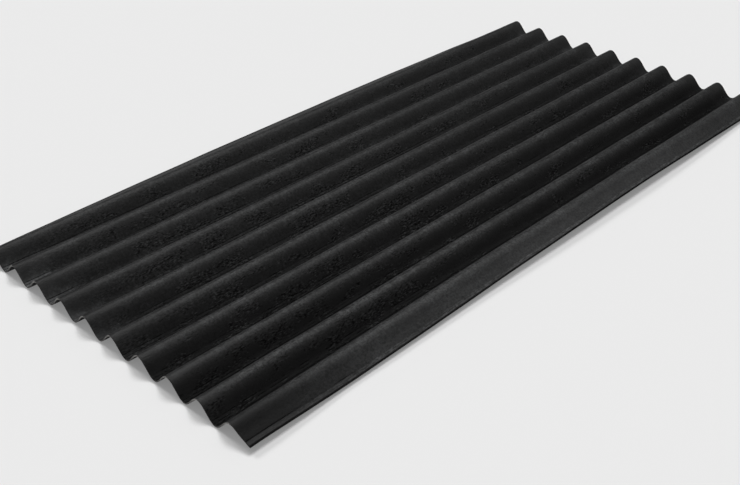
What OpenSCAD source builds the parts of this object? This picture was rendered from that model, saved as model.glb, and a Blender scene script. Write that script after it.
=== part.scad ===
// Corrugated bitumen roofing sheet: one sheet of pressed fibre soaked in bitumen.
// The waves run along Y, and the sheet lies on the undersides of its valleys, on Z = 0.
// Millimetres, at real size.

/* [Sheet] */
// Length along the waves, between the two square-cut ends
sheet_l = 2000; // [400:10:4000]
// Thickness of the material
sheet_t = 3; // [1.5:0.1:6]

/* [Waves] */
// Number of crests across the sheet
crest_count = 10; // [3:1:24]
// Distance from one crest to the next
pitch = 95; // [75:1:140]
// Height of the waves, from the underside of a valley to the top of a crest
wave_h = 38; // [20:0.5:60]
// Inside radius of the bend over a crest, on its underside
crest_bend_r = 13.5; // [6:0.5:20]
// Inside radius of the bend in a valley, on its upper side
valley_bend_r = 13.5; // [6:0.5:20]

/* [Side edges] */
// Distance from the middle of an outer crest out to the side edge beside it
wing_w = 47.5; // [40:0.5:70]
// Height of the underside of a side edge above the undersides of the valleys
edge_lift = 5; // [0:0.5:12]
// Slope that the lip still has where it ends at the side edge, in degrees
lip_slope = 8; // [0:1:20]

/* [Hidden] */
$fn = 180;

sheet_colour = "#2b2c2d";
last = crest_count - 1;
half_t = sheet_t / 2;

// The section is set out round the middle line of the material, half a thickness from both faces.
crest_r = crest_bend_r + half_t;
valley_r = valley_bend_r + half_t;

// Unit vectors in the section, leaning from straight up and from straight down towards +X
function up_at(a) = [sin(a), cos(a)];
function down_at(a) = [sin(a), -cos(a)];
function mirrored(p) = [-p.x, p.y];

// Centres of the bends, in X and Z
last_crest_x = pitch * last / 2;
function crest_axis(i) = [pitch * i - last_crest_x, wave_h - half_t - crest_r];
function valley_axis(i) = [pitch * (i + 0.5) - last_crest_x, half_t + valley_r];

// The lip turns up as a valley does, and the sheet ends before the lip lies level. The cut
// along the side edge is square to the lip.
edge_high = [last_crest_x + wing_w, edge_lift + sheet_t * cos(lip_slope)];
edge_low = edge_high - sheet_t * up_at(lip_slope);
lip_axis = edge_high + valley_bend_r * up_at(lip_slope);

// A flank lies along the inner tangent of a crest's and a valley's circles. Its two faces are
// parallel, so they share the slope of its middle line.
function tangent_slope(from_crest, to_valley) =
    let (across = to_valley.x - from_crest.x, drop = from_crest.y - to_valley.y)
    atan2(drop, across) + asin((crest_r + valley_r) / norm([across, drop]));
flank_slope = tangent_slope(crest_axis(0), valley_axis(0));
wing_slope = tangent_slope(crest_axis(last), lip_axis);

// Where one face of a crest's bend runs into its two flanks, from left to right
function crest_ends(i, r) = [
    crest_axis(i) + r * up_at(i == 0 ? -wing_slope : -flank_slope),
    crest_axis(i) + r * up_at(i == last ? wing_slope : flank_slope)
];
// The same for a valley's bend
function valley_ends(i, r) = [
    valley_axis(i) + r * down_at(-flank_slope),
    valley_axis(i) + r * down_at(flank_slope)
];

// The section is cut out of a block that clears the sheet by this much above and below.
clear = wave_h;
// The bends' circles are this much larger than the tangent ones, so that they cross the
// flanks cleanly at both ends of a bend.
overlap = 0.002;

// The block up to one face of the sheet. crest_face_r and valley_face_r are that face's radii,
// and edge_p is its corner at the right-hand side edge.
module up_to_face(crest_face_r, valley_face_r, edge_p, block) {
    lip_start = lip_axis + valley_face_r * down_at(-wing_slope);
    side_x = edge_high.x + 2 * clear;
    right_side = [lip_start, edge_p, [side_x, edge_p.y], [side_x, wave_h + 2 * clear]];
    difference() {
        polygon([block[0], block[1], mirrored(block[1]), mirrored(block[0])]);
        difference() {
            polygon(concat(
                [for (k = [len(right_side) - 1 : -1 : 0]) mirrored(right_side[k])],
                [for (i = [0 : last]) each concat(
                    crest_ends(i, crest_face_r), i < last ? valley_ends(i, valley_face_r) : [])],
                right_side
            ));
            for (i = [0 : last]) translate(crest_axis(i)) circle(r = crest_face_r + overlap);
        }
        for (i = [0 : last - 1]) translate(valley_axis(i)) circle(r = valley_face_r + overlap);
        for (p = [lip_axis, mirrored(lip_axis)]) translate(p) circle(r = valley_face_r + overlap);
    }
}

// The sheet's section: what lies below its upper face and above its lower face
module section() {
    cut = up_at(lip_slope) / cos(lip_slope);
    between_edges = [edge_low - clear * cut, edge_low + (wave_h + clear) * cut];
    past_edges = [[edge_high.x + clear, -2 * clear], [edge_high.x + clear, wave_h + clear]];
    difference() {
        up_to_face(crest_r + half_t, valley_r - half_t, edge_high, between_edges);
        up_to_face(crest_r - half_t, valley_r + half_t, edge_low, past_edges);
    }
}

// The one piece: the section drawn out to the sheet's length
module corrugated_sheet() {
    color(sheet_colour)
        translate([0, sheet_l / 2, 0]) rotate([90, 0, 0])
            linear_extrude(height = sheet_l, convexity = 2 * crest_count) section();
}

corrugated_sheet();
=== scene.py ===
"""Corrugated bitumen sheet: one sheet of compressed fibre soaked in bitumen, lying on a floor.

Metres. The waves run along Y and the sheet's middle is over the origin.
"""
from math import asin, atan2, cos, hypot, pi, radians, sin, sqrt

import bpy
from mathutils import Matrix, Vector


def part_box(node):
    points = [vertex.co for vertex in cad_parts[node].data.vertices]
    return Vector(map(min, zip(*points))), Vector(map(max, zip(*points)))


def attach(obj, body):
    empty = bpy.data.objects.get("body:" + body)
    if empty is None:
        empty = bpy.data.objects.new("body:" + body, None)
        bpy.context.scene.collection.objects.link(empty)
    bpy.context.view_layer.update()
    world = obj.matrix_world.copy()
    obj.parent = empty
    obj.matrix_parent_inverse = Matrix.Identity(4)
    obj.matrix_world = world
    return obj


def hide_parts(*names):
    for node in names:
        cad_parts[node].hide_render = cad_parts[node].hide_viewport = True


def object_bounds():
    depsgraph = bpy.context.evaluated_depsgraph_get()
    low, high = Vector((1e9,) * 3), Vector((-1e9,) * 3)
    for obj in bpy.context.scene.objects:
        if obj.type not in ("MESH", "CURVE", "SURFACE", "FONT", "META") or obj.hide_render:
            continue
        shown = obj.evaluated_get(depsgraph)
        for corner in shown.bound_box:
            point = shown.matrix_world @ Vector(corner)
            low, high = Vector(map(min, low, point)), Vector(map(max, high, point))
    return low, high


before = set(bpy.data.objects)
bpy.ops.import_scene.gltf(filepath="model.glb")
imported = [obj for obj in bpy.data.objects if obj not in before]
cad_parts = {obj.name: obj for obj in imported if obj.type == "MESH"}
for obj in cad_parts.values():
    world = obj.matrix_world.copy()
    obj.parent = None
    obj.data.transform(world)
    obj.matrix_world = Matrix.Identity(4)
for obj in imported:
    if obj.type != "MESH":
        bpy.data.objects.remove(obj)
cad_low, cad_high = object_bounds()

SHEET = "corrugated_sheet"
sheet_low, sheet_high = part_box(SHEET)

# ---------------------------------------------------------------- sizes of the sheet
LENGTH = sheet_high[1] - sheet_low[1]
WIDTH = sheet_high[0] - sheet_low[0]
HEIGHT = sheet_high[2] - sheet_low[2]
CRESTS = 10
PITCH = 0.095
THICKNESS = 0.003
BEND = 0.015          # radius of both bends, at the middle of the material
EDGE_LIFT = 0.005     # height of a side edge's underside
LIP_SLOPE = radians(8)

SOFTNESS = 1.0        # how far the flanks are hollowed into a plain wave, from 0 to 1
CREST_TOP = 0.0365    # height of a crest, at the middle of the material

# How a real sheet lies. It is made straight, and most of this goes to nothing at its ends.
FLARE_LEFT = radians(13)     # how far a wing opens outwards, half way along
FLARE_RIGHT = radians(14)
CURL_LEFT = radians(2.5)     # how far it opens at its front corner
CURL_RIGHT = radians(13)
EXTRA_RIGHT = 0.006          # the right wing is this much longer
SIDE_LIFT_RIGHT = 0.010      # lift of the right side edge, half way along
FRONT_RISE = 0.004           # rise of the middle of the front end
UNEVENNESS = 0.0008          # height of the soft hollows and swells
WANDER = 0.0010              # how far a wave strays sideways
RAGGED = 0.0004              # roughness of the sawn ends

# How finely the sheet is built
POINTS_ACROSS = 380
POINTS_ALONG = 100
POINTS_PER_ARC = 16
SEED = 4.0

# ---------------------------------------------------------------- the section's arcs
WING = (WIDTH - (CRESTS - 1) * PITCH) / 2
CREST_AXIS = HEIGHT - THICKNESS / 2 - BEND
VALLEY_AXIS = THICKNESS / 2 + BEND
LIP_AXIS = EDGE_LIFT + (THICKNESS / 2) * cos(LIP_SLOPE) + BEND * cos(LIP_SLOPE)
LIP_REACH = WING + (BEND - THICKNESS / 2) * sin(LIP_SLOPE)


def flank_slope(across, drop):
    """Slope of the straight flank that is tangent to a crest's bend and to a valley's."""
    return atan2(drop, across) + asin(2 * BEND / hypot(across, drop))


def flank_length(across, drop):
    """Length of that flank, between the two bends."""
    return sqrt(across ** 2 + drop ** 2 - (2 * BEND) ** 2)


FLANK_SLOPE = flank_slope(PITCH / 2, CREST_AXIS - VALLEY_AXIS)
WING_SLOPE = flank_slope(LIP_REACH, CREST_AXIS - LIP_AXIS)

# Lengths measured over the waves: half a wave, an outer crest to its side edge, and the whole
HALF_WAVE = 2 * FLANK_SLOPE * BEND + flank_length(PITCH / 2, CREST_AXIS - VALLEY_AXIS)
WING_GIRTH = (2 * WING_SLOPE - LIP_SLOPE) * BEND + flank_length(LIP_REACH, CREST_AXIS - LIP_AXIS)
GIRTH = 2 * (CRESTS - 1) * HALF_WAVE + 2 * WING_GIRTH


# ---------------------------------------------------------------- node tree helpers
class Tree:
    """A node tree that is built by chained calls. A value given for an input may be another
    node's output, a number or a vector."""

    def __init__(self, tree):
        self.tree = tree

    def node(self, kind, inputs=None, **settings):
        made = self.tree.nodes.new(kind)
        for name, value in settings.items():
            setattr(made, name, value)
        for key, value in (inputs or {}).items():
            self.feed(made.inputs[key], value)
        return made

    def feed(self, socket, value):
        if isinstance(value, bpy.types.NodeSocket):
            self.tree.links.new(value, socket)
        else:
            socket.default_value = value

    def math(self, operation, a, b=0.0, c=0.0):
        return self.node("ShaderNodeMath", {0: a, 1: b, 2: c}, operation=operation).outputs[0]

    def add(self, first, *others):
        for other in others:
            first = self.math("ADD", first, other)
        return first

    def less(self, a, b):
        return self.math("SUBTRACT", a, b)

    def times(self, first, *others):
        for other in others:
            first = self.math("MULTIPLY", first, other)
        return first

    def over(self, a, b):
        return self.math("DIVIDE", a, b)

    def without(self, share):
        """What a share leaves of 1."""
        return self.math("SUBTRACT", 1.0, share)

    def size(self, a):
        """The number without its sign."""
        return self.math("ABSOLUTE", a)

    def xyz(self, x, y, z):
        return self.node("ShaderNodeCombineXYZ", {"X": x, "Y": y, "Z": z}).outputs[0]

    def split(self, vector):
        return self.node("ShaderNodeSeparateXYZ", {0: vector}).outputs

    def ramp(self, value, low, high, at_low=0.0, at_high=1.0):
        """Goes smoothly from at_low to at_high as value goes from low to high."""
        return self.node("ShaderNodeMapRange", {
            "Value": value, "From Min": low, "From Max": high, "To Min": at_low, "To Max": at_high,
        }, interpolation_type="SMOOTHSTEP").outputs[0]

    def line(self, value, middle, half_width):
        """1 where value is middle, and 0 from half_width away."""
        return self.ramp(self.size(self.less(value, middle)), 0.0, half_width, 1.0, 0.0)

    def noise(self, place, scale, detail=2.0, roughness=0.5, distortion=0.0):
        """A noise from 0 to 1 around a half, with scale features to a metre."""
        return self.node("ShaderNodeTexNoise", {
            "Vector": place, "Scale": scale, "Detail": detail, "Roughness": roughness,
            "Distortion": distortion,
        }).outputs[0]

    def stretch(self, place, factors, offset=(0.0, 0.0, 0.0)):
        """The place, scaled by a factor on each axis: a pattern grows long where it is small."""
        scaled = self.node("ShaderNodeVectorMath", {0: place, 1: factors}, operation="MULTIPLY")
        return self.node("ShaderNodeVectorMath", {0: scaled.outputs[0], 1: offset},
                         operation="ADD").outputs[0]


# ---------------------------------------------------------------- the sheet's shape
def sheet_tree():
    """The middle surface of the sheet. Its section is a row of arcs, joined by flat flanks."""
    tree = bpy.data.node_groups.new("Corrugated sheet", "GeometryNodeTree")
    face = tree.interface
    for name, kind, value in (
        ("Length", "NodeSocketFloat", LENGTH),
        ("Crests", "NodeSocketInt", CRESTS),
        ("Pitch", "NodeSocketFloat", PITCH),
        ("Bend radius", "NodeSocketFloat", BEND),
        ("Crest axis height", "NodeSocketFloat", CREST_AXIS),
        ("Valley axis height", "NodeSocketFloat", VALLEY_AXIS),
        ("Lip axis height", "NodeSocketFloat", LIP_AXIS),
        ("Lip reach", "NodeSocketFloat", LIP_REACH),
        ("Flank slope", "NodeSocketFloat", FLANK_SLOPE),
        ("Wing slope", "NodeSocketFloat", WING_SLOPE),
        ("Lip slope", "NodeSocketFloat", LIP_SLOPE),
        ("Half wave girth", "NodeSocketFloat", HALF_WAVE),
        ("Softness", "NodeSocketFloat", SOFTNESS),
        ("Flare left", "NodeSocketFloat", FLARE_LEFT),
        ("Flare right", "NodeSocketFloat", FLARE_RIGHT),
        ("Curl left", "NodeSocketFloat", CURL_LEFT),
        ("Curl right", "NodeSocketFloat", CURL_RIGHT),
        ("Extra right", "NodeSocketFloat", EXTRA_RIGHT),
        ("Side lift right", "NodeSocketFloat", SIDE_LIFT_RIGHT),
        ("Front rise", "NodeSocketFloat", FRONT_RISE),
        ("Unevenness", "NodeSocketFloat", UNEVENNESS),
        ("Wander", "NodeSocketFloat", WANDER),
        ("Ragged ends", "NodeSocketFloat", RAGGED),
        ("Points across", "NodeSocketInt", POINTS_ACROSS),
        ("Points along", "NodeSocketInt", POINTS_ALONG),
        ("Seed", "NodeSocketFloat", SEED),
        ("Material", "NodeSocketMaterial", None),
    ):
        made = face.new_socket(name, in_out="INPUT", socket_type=kind)
        if value is not None:
            made.default_value = value
    face.new_socket("Sheet", in_out="OUTPUT", socket_type="NodeSocketGeometry")

    t = Tree(tree)
    given = t.node("NodeGroupInput").outputs
    section = section_curve(t, given)

    # A flat grid takes the section's shape, row by row
    grid = t.node("GeometryNodeMeshGrid", {
        "Size X": 1.0, "Size Y": given["Length"],
        "Vertices X": given["Points across"], "Vertices Y": given["Points along"],
    }).outputs["Mesh"]
    flat = t.split(t.node("GeometryNodeInputPosition").outputs[0])
    girth = t.node("GeometryNodeCurveLength", {0: section}).outputs[0]
    even = t.times(t.add(flat["X"], 0.5), girth)
    # The rows of points stand closer together on the bends than on the flanks
    half_waves = t.over(t.less(even, t.times(girth, 0.5)), given["Half wave girth"])
    from_side = t.math("MINIMUM", even, t.less(girth, even))
    fade = t.math("MINIMUM", t.over(from_side, given["Half wave girth"]), 1.0)
    crowd = t.times(t.math("SINE", t.times(half_waves, 2 * pi)), given["Half wave girth"], 0.25 / pi)
    across = t.less(even, t.times(crowd, fade))
    on_section = t.node("GeometryNodeSampleCurve", {"Curves": section, "Length": across},
                        mode="LENGTH", data_type="FLOAT").outputs["Position"]
    for name, value in (("across", across), ("rise", t.split(on_section)["Z"])):
        grid = t.node("GeometryNodeStoreNamedAttribute", {
            "Geometry": grid, "Name": name, "Value": value,
        }, data_type="FLOAT", domain="POINT").outputs[0]
    shaped = t.node("GeometryNodeSetPosition", {
        "Geometry": grid,
        "Position": lie_on_floor(t, given, t.split(on_section), flat["Y"], across),
    }).outputs[0]
    smooth = t.node("GeometryNodeSetShadeSmooth", {"Geometry": shaped}).outputs[0]
    real = t.node("GeometryNodeRealizeInstances", {"Geometry": smooth}).outputs[0]
    done = t.node("GeometryNodeSetMaterial", {"Geometry": real, "Material": given["Material"]})
    t.node("NodeGroupOutput", {0: done.outputs[0]})
    return tree


def section_curve(t, given):
    """The section as a curve from left to right: a lip, crests and valleys by turns, a lip."""
    arcs = t.math("MULTIPLY_ADD", given["Crests"], 2, 1)
    index = t.node("GeometryNodeInputIndex").outputs[0]
    arc = t.math("FLOOR", t.over(index, POINTS_PER_ARC))
    along_arc = t.over(t.math("MODULO", index, POINTS_PER_ARC), POINTS_PER_ARC - 1)
    # Place of the arc, counted in half waves from the middle of the sheet
    half_waves = t.less(arc, given["Crests"])
    side = t.math("SIGN", half_waves)
    from_middle = t.size(half_waves)
    is_lip = t.math("COMPARE", from_middle, given["Crests"], 0.5)
    is_outer = t.math("COMPARE", from_middle, t.less(given["Crests"], 1), 0.5)
    is_crest = t.math("MODULO", arc, 2)

    def pick(condition, yes, no):
        return t.node("GeometryNodeSwitch", {"Switch": condition, "True": yes, "False": no},
                      input_type="FLOAT").outputs[0]

    lip_x = t.math("MULTIPLY_ADD", t.times(t.less(given["Crests"], 1), 0.5), given["Pitch"],
                   given["Lip reach"])
    axis_x = pick(is_lip, t.times(side, lip_x), t.times(half_waves, given["Pitch"], 0.5))
    axis_z = pick(is_crest, given["Crest axis height"],
                  pick(is_lip, given["Lip axis height"], given["Valley axis height"]))
    # The arc's two ends, as slopes. On a crest they are the flanks' slopes; a lip's outer
    # end has the slope that the lip still has at the side edge, the other way up.
    inner = pick(is_lip, given["Wing slope"], given["Flank slope"])
    outer = pick(is_lip, t.times(given["Lip slope"], -1),
                 pick(is_outer, given["Wing slope"], given["Flank slope"]))
    on_right = t.math("GREATER_THAN", half_waves, 0)
    left_end = pick(on_right, inner, outer)
    right_end = pick(on_right, outer, inner)
    angle = t.less(t.times(along_arc, t.add(left_end, right_end)), left_end)
    up = pick(is_crest, 1.0, -1.0)
    rise = t.times(given["Bend radius"], up, t.math("COSINE", angle))
    point = t.xyz(
        t.math("MULTIPLY_ADD", given["Bend radius"], t.math("SINE", angle), axis_x),
        0.0,
        t.add(axis_z, rise),
    )
    line = t.node("GeometryNodeMeshLine", {"Count": t.times(arcs, POINTS_PER_ARC)}).outputs[0]
    line = t.node("GeometryNodeSetPosition", {"Geometry": line, "Position": point}).outputs[0]
    return t.node("GeometryNodeMeshToCurve", {"Mesh": line}).outputs[0]


def softened(t, given, outer_crest, x, z):
    """Height of the section with its flanks hollowed towards a plain wave."""
    beyond = t.less(t.size(x), outer_crest)
    is_wing = t.math("GREATER_THAN", beyond, 0.0)
    turn = t.times(t.over(beyond, given["Pitch"]), 2 * pi)
    top = t.add(given["Crest axis height"], given["Bend radius"])
    low_inner = t.less(given["Valley axis height"], given["Bend radius"])
    low_wing = t.less(given["Lip axis height"], given["Bend radius"])
    low = t.add(low_inner, t.times(is_wing, t.less(low_wing, low_inner)))
    wave = t.less(top, t.times(t.less(top, low), 0.5, t.without(t.math("COSINE", turn))))
    # The lips keep their own bend
    inside = t.ramp(beyond, t.times(given["Pitch"], 0.15), t.times(given["Pitch"], 0.35), 1.0, 0.0)
    return t.add(z, t.times(given["Softness"], inside, t.less(wave, z)))


def lie_on_floor(t, given, place, y, across):
    """Where a point of the straight sheet comes to lie: opened wings, a lifted side and so on."""
    outer_crest = t.times(t.less(given["Crests"], 1), 0.5, given["Pitch"])
    x = place["X"]
    z = softened(t, given, outer_crest, x, place["Z"])
    # From -1 at the front end to 1 at the back
    out_y = t.over(y, t.times(given["Length"], 0.5))
    midway = t.without(t.times(out_y, out_y))
    to_front = t.math("MAXIMUM", t.times(out_y, -1.0), 0.0)

    # Each wing opens outwards about its crest's own bend
    beyond = t.less(t.size(x), outer_crest)
    on_right = t.math("GREATER_THAN", x, 0.0)
    open_right = t.add(t.times(given["Flare right"], midway, t.ramp(out_y, -0.6, 0.6)),
                       t.times(given["Curl right"], t.ramp(to_front, 0.7, 1.0)))
    open_left = t.add(t.times(given["Flare left"], midway), t.times(given["Curl left"], to_front))
    opened = t.add(t.times(on_right, open_right), t.times(t.without(on_right), open_left))
    turn = t.times(opened, t.ramp(beyond, 0.0, t.times(given["Bend radius"], 0.8)))
    # The right one is drawn out along its own slope first
    drawn = t.ramp(beyond, t.times(given["Pitch"], 0.1), t.times(given["Pitch"], 0.45))
    longer = t.times(given["Extra right"], on_right, drawn)
    beyond = t.add(beyond, t.times(longer, t.math("COSINE", given["Wing slope"])))
    z = t.less(z, t.times(longer, t.math("SINE", given["Wing slope"])))
    above = t.less(z, given["Crest axis height"])
    cosine = t.math("COSINE", turn)
    sine = t.math("SINE", turn)
    turned_x = t.add(outer_crest, t.less(t.times(beyond, cosine), t.times(above, sine)))
    turned_z = t.add(given["Crest axis height"], t.times(beyond, sine), t.times(above, cosine))
    is_wing = t.math("GREATER_THAN", beyond, 0.0)
    x_open = t.add(t.times(t.without(is_wing), x), t.times(is_wing, t.math("SIGN", x), turned_x))
    z_open = t.add(t.times(t.without(is_wing), z), t.times(is_wing, turned_z))

    # The right side's lift dies away inwards within a wave or two
    out_x = t.over(x, t.add(outer_crest, given["Lip reach"]))
    to_right = t.math("POWER", t.math("MAXIMUM", out_x, 0.0), 6.0)
    side_lift = t.times(given["Side lift right"], midway, to_right)
    # The front end's middle stands up a little
    front_lift = t.times(given["Front rise"], t.math("POWER", to_front, 5.0),
                         t.without(t.times(out_x, out_x)))

    # Soft swells, waves that stray sideways, and fibres torn at the sawn ends. A noise strays a
    # quarter from its half at most, so that four times as much of it gives the named size.
    seat = t.xyz(x, y, given["Seed"])
    swell = t.noise(t.stretch(seat, (1.6, 1.0, 1.0)), 4.0, 1.0)
    swell = t.times(t.ramp(swell, 0.3, 0.7), given["Unevenness"])
    stray = t.noise(t.stretch(seat, (1.5, 0.8, 1.0), (7.0, 0.0, 0.0)), 3.0, 1.0)
    stray = t.times(t.less(stray, 0.5), 4.0, given["Wander"])
    torn = t.noise(t.xyz(across, out_y, given["Seed"]), 160.0, 3.0, 0.7)
    at_end = t.math("GREATER_THAN", t.size(out_y), 0.9999)
    ragged = t.times(t.less(torn, 0.5), at_end, 4.0, given["Ragged ends"])
    return t.xyz(
        t.add(x_open, stray),
        t.add(y, ragged),
        t.add(z_open, side_lift, front_lift, swell),
    )


def set_inputs(modifier, values):
    """Sets a tree's named inputs by their identifiers."""
    for item in modifier.node_group.interface.items_tree:
        if item.item_type == "SOCKET" and item.in_out == "INPUT" and item.name in values:
            modifier[item.identifier] = values[item.name]


def finished_mesh(obj, name):
    """The object's evaluated shape as a plain mesh object at the origin."""
    graph = bpy.context.evaluated_depsgraph_get()
    mesh = bpy.data.meshes.new_from_object(obj.evaluated_get(graph), depsgraph=graph)
    mesh.name = name
    bpy.data.objects.remove(obj)
    made = bpy.data.objects.new(name, mesh)
    bpy.context.scene.collection.objects.link(made)
    return made


def build_sheet(face_material, cut_material):
    """The sheet: its middle surface, given its thickness, with a finish of its own on the rim."""
    start = bpy.data.objects.new("Sheet start", bpy.data.meshes.new("Sheet start"))
    bpy.context.scene.collection.objects.link(start)
    shape = start.modifiers.new("Shape", "NODES")
    shape.node_group = sheet_tree()
    set_inputs(shape, {"Material": face_material})
    wall = start.modifiers.new("Thickness", "SOLIDIFY")
    wall.thickness = THICKNESS
    wall.offset = 0.0
    wall.use_even_offset = True
    wall.use_quality_normals = True
    sheet = finished_mesh(start, "Sheet")
    finish_cut_edges(sheet.data, face_material, cut_material)
    return sheet


def finish_cut_edges(mesh, face_material, cut_material):
    """Gives the rim, which joins the wall's two faces, its own finish and sharp borders."""
    mesh.materials.clear()
    mesh.materials.append(face_material)
    mesh.materials.append(cut_material)
    first_of_back = len(mesh.vertices) // 2
    border = set()
    for polygon in mesh.polygons:
        on_back = sum(1 for corner in polygon.vertices if corner >= first_of_back)
        is_rim = 0 < on_back < len(polygon.vertices)
        polygon.material_index = 1 if is_rim else 0
        if is_rim:
            border.update(polygon.edge_keys)
    for edge in mesh.edges:
        edge.use_edge_sharp = edge.key in border


# ---------------------------------------------------------------- the finish's sizes
RAW_BLACK = (0.0115, 0.0117, 0.0119)     # colour of the faces, before the mottling and the painted light and shade
BARE_FIBRE = (0.15, 0.147, 0.143)        # colour of the fibre inside
FACE_IOR = 1.25                          # the porous faces mirror less than solid bitumen
CUT_GLOSS = 0.2                          # specular level of the cut

# Distances from a side edge, over the waves
EDGE_SHADE = (0.0025, 0.0060)    # the painted shade along the very edge fades out between these
STRIP = (0.0115, 0.0125)      # the fibrous strip ends between these
FOLD = 0.0135                 # the crease that ends the strip
FOLD_HALF = 0.0014            # half its width
OFF_WING = (0.040, 0.075)     # the wing's finish gives way to the inner one between these

# Distances from a valley's middle, over the waves
UPPER_CREASE = 0.0125
LOWER_CREASE = 0.0045
RIDGE = 0.0095
CREASE_HALF = 0.0015
LOWER_HALF = 0.0013
CREASE_WOBBLE = 0.005

# Where the bitumen has sweated out: the patch's middle and its reach, across and along
SWEATED_ACROSS = GIRTH * 0.80
SWEATED_ALONG = -0.68
SWEATED_REACH = (0.19, 0.42)

# Depths of the relief that is left to the bump
FELT_DEPTH = 0.00085
STRAND_DEPTH = 0.00030
FUZZ_DEPTH = 0.00010
PIT_DEPTH = 0.00020
DENT_DEPTH = 0.0012
CREASE_DEPTH = 0.0011


# ---------------------------------------------------------------- materials
class Spot:
    """Where a point of the sheet is, as outputs of nodes in a material's tree."""

    def __init__(self, t):
        self.place = t.node("ShaderNodeTexCoord").outputs["Object"]
        self.along = t.split(self.place)["Y"]
        # Two attributes of the mesh: the way over the waves from the left edge, and the height,
        # both as the sheet was made
        self.across = t.node("ShaderNodeAttribute", attribute_name="across").outputs["Fac"]
        self.rise = t.node("ShaderNodeAttribute", attribute_name="rise").outputs["Fac"]


class FaceSpot(Spot):
    """A point of the faces, and how far it is from the sheet's edges."""

    def __init__(self, t):
        super().__init__(t)
        self.over = t.xyz(self.across, self.along, self.rise)
        self.from_side = t.math("MINIMUM", self.across, t.less(GIRTH, self.across))
        self.from_end = t.less(LENGTH / 2, t.size(self.along))
        # Shares from 0 to 1: off the wings, on a wing, towards the right side and the left
        self.inner = t.ramp(self.from_side, *OFF_WING)
        self.on_wing = t.without(self.inner)
        self.to_right = t.ramp(self.across, GIRTH * 0.2, GIRTH * 0.85)
        self.to_left = t.without(self.to_right)


def new_material(name):
    material = bpy.data.materials.new(name)
    material.use_nodes = True
    material.node_tree.nodes.clear()
    return material, Tree(material.node_tree)


def shade(t, colour, factor):
    """A colour made lighter or darker by a factor that changes over the surface."""
    return t.node("ShaderNodeVectorMath", {0: colour, 1: t.xyz(factor, factor, factor)},
                  operation="MULTIPLY").outputs[0]


def bumped(t, height):
    """The normal of a surface with this relief, in metres."""
    return t.node("ShaderNodeBump", {"Strength": 1.0, "Distance": 1.0, "Height": height}).outputs[0]


def end_zone(t, at):
    """A zone along both sawn ends, about a hand's breadth wide with a wavering border."""
    waver = t.times(t.less(t.noise(at.over, 12.0, 2.0), 0.5), 0.10)
    return t.ramp(t.add(at.from_end, waver), 0.010, 0.120, 1.0, 0.0)


def painted_end_light(t, at, zone):
    """How much paler painted light makes that zone: most of all at the front left, and low on the
    waves.
    """
    at_front = t.math("LESS_THAN", at.along, 0.0)
    front = t.ramp(at.across, GIRTH * 0.25, GIRTH * 0.75, 3.6, 0.3)
    end_light = t.add(t.times(at_front, front), t.times(t.without(at_front), 1.6))
    on_flank = t.ramp(at.rise, 0.0, CREST_TOP, 1.4, -0.2)
    return t.times(zone, on_flank, end_light)


def flecks(t, at):
    """Short flecks, dark and pale. They lie in drifts on the flanks, more of them towards the
    front end, and thin out at the left side's ends."""
    drift = t.noise(t.stretch(at.over, (1.0, 0.5, 1.0), (3.0, 0.0, 0.0)), 22.0, 3.0, 0.6)
    drift = t.ramp(t.less(drift, t.times(at.along, 0.05)), 0.48, 0.60)
    low_down = t.ramp(at.rise, 0.022, 0.036, 1.0, 0.0)
    drift = t.times(drift, t.add(0.25, t.times(at.inner, low_down, 0.75)))
    thinned = t.times(at.to_left, t.ramp(at.from_end, 0.06, 0.28, 0.85, 0.0))
    drift = t.times(drift, t.without(thinned))
    height = t.noise(t.stretch(at.over, (1.0, 0.42, 1.0), (0.0, 5.0, 0.0)), 300.0, 1.5)
    dark = t.times(drift, t.ramp(height, 0.38, 0.44, 0.95, 0.0))
    pale = t.times(drift, t.ramp(height, 0.57, 0.65, 0.0, 2.3))
    return dark, pale


def painted_wave_light(t, at, tone, crest, zone):
    """The tone with painted light: an uneven painted highlight on the crests, stronger to the right,
    and painted shade low on the flanks and in the valleys; to the left the valley bottoms are paler.
    """
    # An uneven painted highlight on the crests
    crest_highlight = t.ramp(t.noise(at.over, 24.0, 4.0, 0.7), 0.35, 0.65, 0.0, 0.30)
    # A stronger painted highlight on the crests towards the right, outside the end zones
    right_crest_highlight = t.times(crest, at.to_right, 0.55, t.without(zone))
    tone = t.times(tone, t.add(1.0, t.times(crest, crest_highlight), right_crest_highlight))
    # Painted shade low on the flanks and in the valleys, deeper to the right
    valley_shade = t.times(t.ramp(at.rise, 0.020, 0.0360, 1.0, 0.0), t.add(0.42, t.times(at.to_right, 0.38)))
    tone = t.times(tone, t.without(t.times(valley_shade, at.inner)))
    # To the left, the bottoms of the valleys are paler
    pale_valley_bottoms = t.times(t.ramp(at.rise, 0.002, 0.014, 0.9, 0.0), at.to_left, at.inner)
    return t.times(tone, t.add(1.0, pale_valley_bottoms))


def sweated_patch(t, at):
    """1 in the patch where bitumen has sweated out, and 0 outside."""
    aside = t.over(t.less(at.across, SWEATED_ACROSS), SWEATED_REACH[0])
    away = t.over(t.less(at.along, SWEATED_ALONG), SWEATED_REACH[1])
    reach = t.math("SQRT", t.add(t.times(aside, aside), t.times(away, away)))
    waver = t.times(t.less(t.noise(at.over, 9.0, 3.0), 0.5), 0.9)
    return t.ramp(t.add(reach, waver), 0.35, 1.15, 1.0, 0.0)


def side_fold(t, at):
    """The thin dark crease that ends the strip along a side edge, here and there."""
    here = t.noise(t.stretch(at.over, (0.0, 1.0, 0.0)), 9.0, 3.0)
    here = t.ramp(t.less(here, t.times(at.along, 0.60)), 0.96, 1.06)
    return t.times(t.line(at.from_side, FOLD, FOLD_HALF), here)


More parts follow.
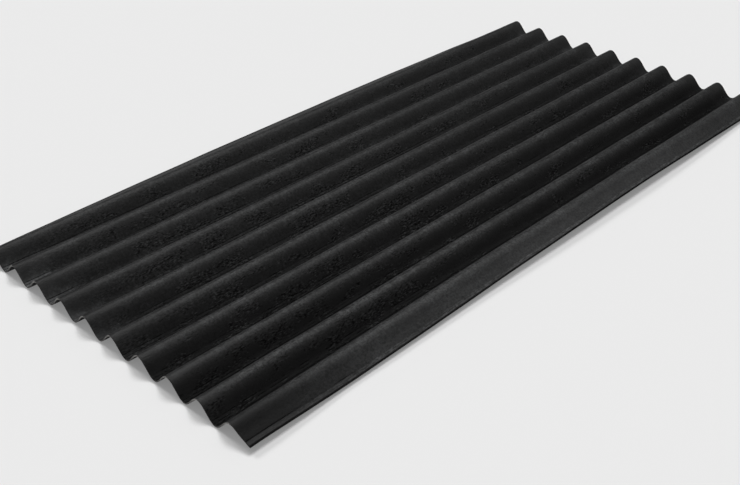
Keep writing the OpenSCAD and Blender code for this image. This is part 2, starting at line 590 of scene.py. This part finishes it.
def valley_creases(t, at):
    """Thin creases sunk in beside the valleys, here and there, and a ridge between the two.
    To the right they are broken up."""
    here = t.noise(t.stretch(at.over, (6.0, 1.0, 1.0)), 3.0, 2.0)
    here = t.times(t.ramp(t.less(here, t.times(at.along, 0.10)), 0.44, 0.58), at.inner)
    broken = t.noise(t.stretch(at.over, (1.0, 0.6, 1.0), (0.0, 0.0, 4.0)), 70.0, 3.0, 0.7)
    here = t.times(here, t.without(t.times(at.to_right, t.ramp(broken, 0.46, 0.56, 1.0, 0.0))))
    from_valley = t.math("PINGPONG", t.size(t.less(at.across, GIRTH / 2)), HALF_WAVE)
    wobble = t.less(t.noise(t.stretch(at.over, (1.0, 0.2, 1.0)), 30.0, 2.0), 0.5)
    from_valley = t.add(from_valley, t.times(wobble, CREASE_WOBBLE))
    creases = t.math("MAXIMUM", t.line(from_valley, UPPER_CREASE, CREASE_HALF),
                     t.line(from_valley, LOWER_CREASE, LOWER_HALF))
    return t.times(creases, here), t.times(t.line(from_valley, RIDGE, CREASE_HALF), here)


def bare_specks(t, at, crest):
    """Pale specks of bare fibre, most of them on the crests."""
    cells = t.node("ShaderNodeTexVoronoi", {"Vector": at.over, "Scale": 85.0, "Randomness": 1.0},
                   feature="F1")
    chosen = t.ramp(t.split(cells.outputs["Color"])["X"], 0.93, 0.95)
    speck = t.times(t.ramp(cells.outputs["Distance"], 0.08, 0.16, 1.0, 0.0), chosen)
    return t.times(speck, t.add(0.5, t.times(crest, 1.5)))


def face_gloss(t, at):
    """The specular level. Coarse fibres stand in each other's way, so that the gloss fails at a
    glancing angle, and most of all low on the waves to the right."""
    facing = t.node("ShaderNodeLayerWeight", {"Blend": 0.5}).outputs["Facing"]
    low_down = t.times(t.ramp(at.rise, 0.012, 0.034, 0.30, 0.0), at.inner, at.to_right)
    return t.times(t.ramp(facing, 0.25, 0.60, 0.907, 0.259), t.without(low_down))


def bitumen_fibre():
    """Matt black compressed fibre soaked in bitumen, felted and mottled, with painted light in its
    colour: highlights on the crests, paler ends and side strips, light and shade on the right wing,
    and shade in the valleys and at the very edge.
    """
    material, t = new_material("Bitumen fibre")
    at = FaceSpot(t)
    zone = end_zone(t, at)
    crest = t.ramp(at.rise, 0.024, CREST_TOP)
    # Painted shade along the very side edges
    edge_shade = t.ramp(at.from_side, *EDGE_SHADE, 0.85, 0.0)
    strip = t.ramp(at.from_side, *STRIP, 1.0, 0.0)

    # Colour variation, from the size of a hand down to single fibres
    cloud = t.ramp(t.noise(at.over, 5.0, 2.0), 0.3, 0.7, 0.78, 1.22)
    patch = t.less(t.ramp(t.noise(at.over, 38.0, 3.0, 0.6), 0.3, 0.7, 0.0, 0.70), 0.35)
    patch = t.add(1.0, t.times(patch, t.add(0.4, t.times(at.inner, 0.6))))
    felt_height = t.noise(at.place, 170.0, 5.0, 0.7)
    strand_height = t.noise(t.stretch(at.over, (1.0, 0.16, 1.0)), 330.0, 3.0, 0.6, distortion=0.6)
    felt = t.less(t.ramp(felt_height, 0.34, 0.66, 0.0, 1.8), 0.9)
    strand = t.less(t.ramp(strand_height, 0.3, 0.7, 0.0, 0.70), 0.35)
    dark_flecks, pale_flecks = flecks(t, at)
    # The fine grain is calmer at the ends and on the wings
    calm = t.times(t.without(t.times(zone, 0.7)), t.add(0.55, t.times(at.inner, 0.45)))
    fine = t.times(t.less(t.add(felt, strand), dark_flecks), calm)
    tone = t.times(cloud, patch, t.math("MAXIMUM", t.add(1.0, fine), 0.05))

    # Painted highlight on the crests and painted shade low on the waves
    tone = painted_wave_light(t, at, tone, crest, zone)
    tone = t.add(tone, t.times(pale_flecks, calm))
    # Painted light and shade on the right wing: black at the front and paler behind
    wing_painted_light = t.times(at.on_wing, at.to_right, t.ramp(at.along, -1.0, -0.6, -0.80, 0.45))
    tone = t.times(tone, t.add(1.0, wing_painted_light))
    sweated = t.times(sweated_patch(t, at), t.ramp(at.rise, 0.028, CREST_TOP, 0.50, 0.0))
    tone = t.times(tone, t.without(sweated))
    # Painted light at the open ends makes the end zones paler
    tone = t.times(tone, t.add(1.0, painted_end_light(t, at, zone)))
    # The strip along each side edge is more fibrous, and painted light makes it paler on the whole
    fibres_and_painted_light = t.times(strip, t.ramp(strand_height, 0.3, 0.7, -0.3, 1.8))
    tone = t.times(tone, t.add(1.0, fibres_and_painted_light))

    crease, ridge = valley_creases(t, at)
    dark = t.math("MAXIMUM", t.times(side_fold(t, at), 0.75), t.times(crease, 0.95))
    tone = t.times(tone, t.without(dark))
    tone = t.add(tone, t.times(ridge, t.without(dark), 0.45))
    tone = t.add(tone, bare_specks(t, at, crest))
    # Painted shade darkens the very edge to black
    tone = t.times(tone, t.without(edge_shade))

    # Rubbing has smoothed the crests; the valleys are quite dull
    dull = t.times(t.ramp(at.rise, 0.004, 0.030, 0.26, 0.0), at.inner)
    roughness = t.add(0.52, t.times(felt_height, 0.16), dull)
    dull_wing = t.times(at.on_wing, at.to_right, t.ramp(at.along, -0.95, -0.5, 0.55, 0.0),
                        t.without(strip))
    hollows = t.times(t.math("MAXIMUM", dark, dark_flecks), 0.75)
    gloss = t.times(face_gloss(t, at), t.without(hollows), t.without(edge_shade), t.without(dull_wing))

    fuzz = t.noise(at.place, 900.0, 2.0, 0.6)
    pits = t.ramp(t.noise(at.over, 120.0, 2.0), 0.3, 0.45)
    dents = t.noise(t.stretch(at.over, (1.0, 0.6, 1.0)), 26.0, 2.0)
    height = t.add(t.times(felt_height, FELT_DEPTH), t.times(strand_height, STRAND_DEPTH),
                   t.times(fuzz, FUZZ_DEPTH), t.times(dents, DENT_DEPTH), t.times(pits, PIT_DEPTH))
    height = t.less(height, t.times(dark, CREASE_DEPTH))
    shader = t.node("ShaderNodeBsdfPrincipled", {
        "Base Color": shade(t, RAW_BLACK, tone),
        "Roughness": roughness,
        "IOR": FACE_IOR,
        "Specular IOR Level": gloss,
        "Normal": bumped(t, height),
    })
    t.node("ShaderNodeOutputMaterial", {"Surface": shader.outputs[0]})
    return material


def cut_fibre():
    """The sawn edge: bare fibre in thin layers, paler than the faces."""
    material, t = new_material("Cut fibre")
    at = Spot(t)
    layers = t.noise(t.stretch(at.place, (0.15, 1.0, 1.0)), 1600.0, 2.0)
    torn = t.noise(t.xyz(at.across, 0.0, 0.0), 240.0, 4.0, 0.7)
    tone = t.times(t.ramp(layers, 0.3, 0.7, 0.7, 1.25), t.ramp(torn, 0.3, 0.7, 0.55, 1.35))
    # The ends are sawn, and scuffed most on the crests; the side edges are black with painted shade
    sawn = t.math("GREATER_THAN", t.size(at.along), LENGTH / 2 - THICKNESS)
    scuffed = t.ramp(at.rise, 0.006, 0.034, 0.6, 1.8)
    tone = t.times(tone, scuffed, t.add(0.06, t.times(sawn, 0.94)))
    # The saw has smeared bitumen over one side of each wave
    from_valley = t.math("FLOORED_MODULO", t.less(at.across, GIRTH / 2), HALF_WAVE * 2)
    tone = t.times(tone, t.ramp(from_valley, HALF_WAVE * 0.9, HALF_WAVE * 1.1, 1.0, 0.10))
    shader = t.node("ShaderNodeBsdfPrincipled", {
        "Base Color": shade(t, BARE_FIBRE, tone),
        "Roughness": t.add(0.8, t.times(torn, 0.15)),
        "Specular IOR Level": CUT_GLOSS,
        "Normal": bumped(t, t.add(t.times(layers, 0.0003), t.times(torn, 0.0006))),
    })
    t.node("ShaderNodeOutputMaterial", {"Surface": shader.outputs[0]})
    return material


# ---------------------------------------------------------------- the studio
FILL = 0.22               # light from all round
PALE = 0.82               # how pale the floor and the backdrop look
FLOOR_COLOUR = 0.83
FLOOR_GLOW = 0.25         # share of the floor that glows, to the eye
FLOOR_REACH = 25.0
FLOOR_SIDES = 64
BACKDROP_TOP = (radians(14), radians(20))    # the pale backdrop ends between these heights

# Name, strength, how wide it looks, azimuth and elevation
LAMPS = (
    ("Key", 1.20, radians(18), radians(-92), radians(42)),
    ("Softbox", 1.80, radians(25), radians(-160), radians(66)),
)

CAMERA_PLACE = (1.6317, -1.8721, 1.3638)
CAMERA_TURN = (radians(44.02), radians(32.49), radians(-0.46))    # azimuth, elevation and roll
LENS = 51.55              # millimetres, on a sensor this wide
SENSOR = 36.0


def seen_directly(t):
    """1 where a ray comes from the camera, a gloss or a glass, and 0 for the light itself."""
    ray = t.node("ShaderNodeLightPath").outputs
    return t.math("MAXIMUM", ray["Is Camera Ray"],
                  t.math("MAXIMUM", ray["Is Glossy Ray"], ray["Is Transmission Ray"]))


def floor_material():
    """A matt pale floor. To the eye it glows a little, so that its shadows are light."""
    material, t = new_material("Studio floor")
    matt = t.node("ShaderNodeBsdfPrincipled", {
        "Base Color": (FLOOR_COLOUR, FLOOR_COLOUR, FLOOR_COLOUR, 1.0),
        "Roughness": 0.9,
        "Specular IOR Level": 0.0,
    }).outputs[0]
    glow = t.node("ShaderNodeEmission", {"Color": (PALE, PALE, PALE, 1.0), "Strength": 1.0}).outputs[0]
    share = t.times(seen_directly(t), FLOOR_GLOW)
    mixed = t.node("ShaderNodeMixShader", {0: share, 1: matt, 2: glow})
    t.node("ShaderNodeOutputMaterial", {"Surface": mixed.outputs[0]})
    return material


def build_floor():
    """A round floor at the height that the sheet stands on."""
    corners = [2 * pi * side / FLOOR_SIDES for side in range(FLOOR_SIDES)]
    ring = [(FLOOR_REACH * cos(turn), FLOOR_REACH * sin(turn), cad_low[2]) for turn in corners]
    mesh = bpy.data.meshes.new("Floor")
    mesh.from_pydata(ring, [], [tuple(range(FLOOR_SIDES))])
    mesh.materials.append(floor_material())
    floor = bpy.data.objects.new("Floor", mesh)
    bpy.context.scene.collection.objects.link(floor)


def build_world():
    """A dim even fill. To the eye it is as pale as the floor near the horizon, and below it."""
    world = bpy.data.worlds.new("Studio")
    bpy.context.scene.world = world
    world.use_nodes = True
    world.node_tree.nodes.clear()
    t = Tree(world.node_tree)
    up = t.split(t.node("ShaderNodeTexCoord").outputs["Generated"])["Z"]
    backdrop = t.ramp(up, sin(BACKDROP_TOP[0]), sin(BACKDROP_TOP[1]), PALE, FILL)
    seen = seen_directly(t)
    strength = t.add(t.times(seen, backdrop), t.times(t.without(seen), FILL))
    background = t.node("ShaderNodeBackground", {"Color": (1.0, 1.0, 1.0, 1.0), "Strength": strength})
    t.node("ShaderNodeOutputWorld", {"Surface": background.outputs[0]})


def look(azimuth, elevation, roll=0.0):
    """The turn of a camera or lamp that looks down by elevation, towards azimuth. Azimuth 0
    looks along +Y, and 90 degrees along -X."""
    turn = Matrix.Rotation(azimuth, 3, "Z") @ Matrix.Rotation(radians(90) - elevation, 3, "X")
    return (turn @ Matrix.Rotation(roll, 3, "Z")).to_quaternion()


def build_lamp(name, strength, spread, azimuth, elevation):
    light = bpy.data.lights.new(name, "SUN")
    light.energy = strength
    light.angle = spread
    lamp = bpy.data.objects.new(name, light)
    lamp.rotation_euler = look(azimuth, elevation).to_euler()
    bpy.context.scene.collection.objects.link(lamp)


def build_camera():
    data = bpy.data.cameras.new("Camera")
    data.lens = LENS
    data.sensor_width = SENSOR
    camera = bpy.data.objects.new("Camera", data)
    camera.matrix_world = Matrix.LocRotScale(CAMERA_PLACE, look(*CAMERA_TURN), None)
    bpy.context.scene.collection.objects.link(camera)
    bpy.context.scene.camera = camera


# ---------------------------------------------------------------- putting it together
bpy.context.scene.view_settings.view_transform = "Standard"

sheet = build_sheet(bitumen_fibre(), cut_fibre())
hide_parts(SHEET)
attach(sheet, "root")

build_floor()
build_world()
for lamp in LAMPS:
    build_lamp(*lamp)
build_camera()
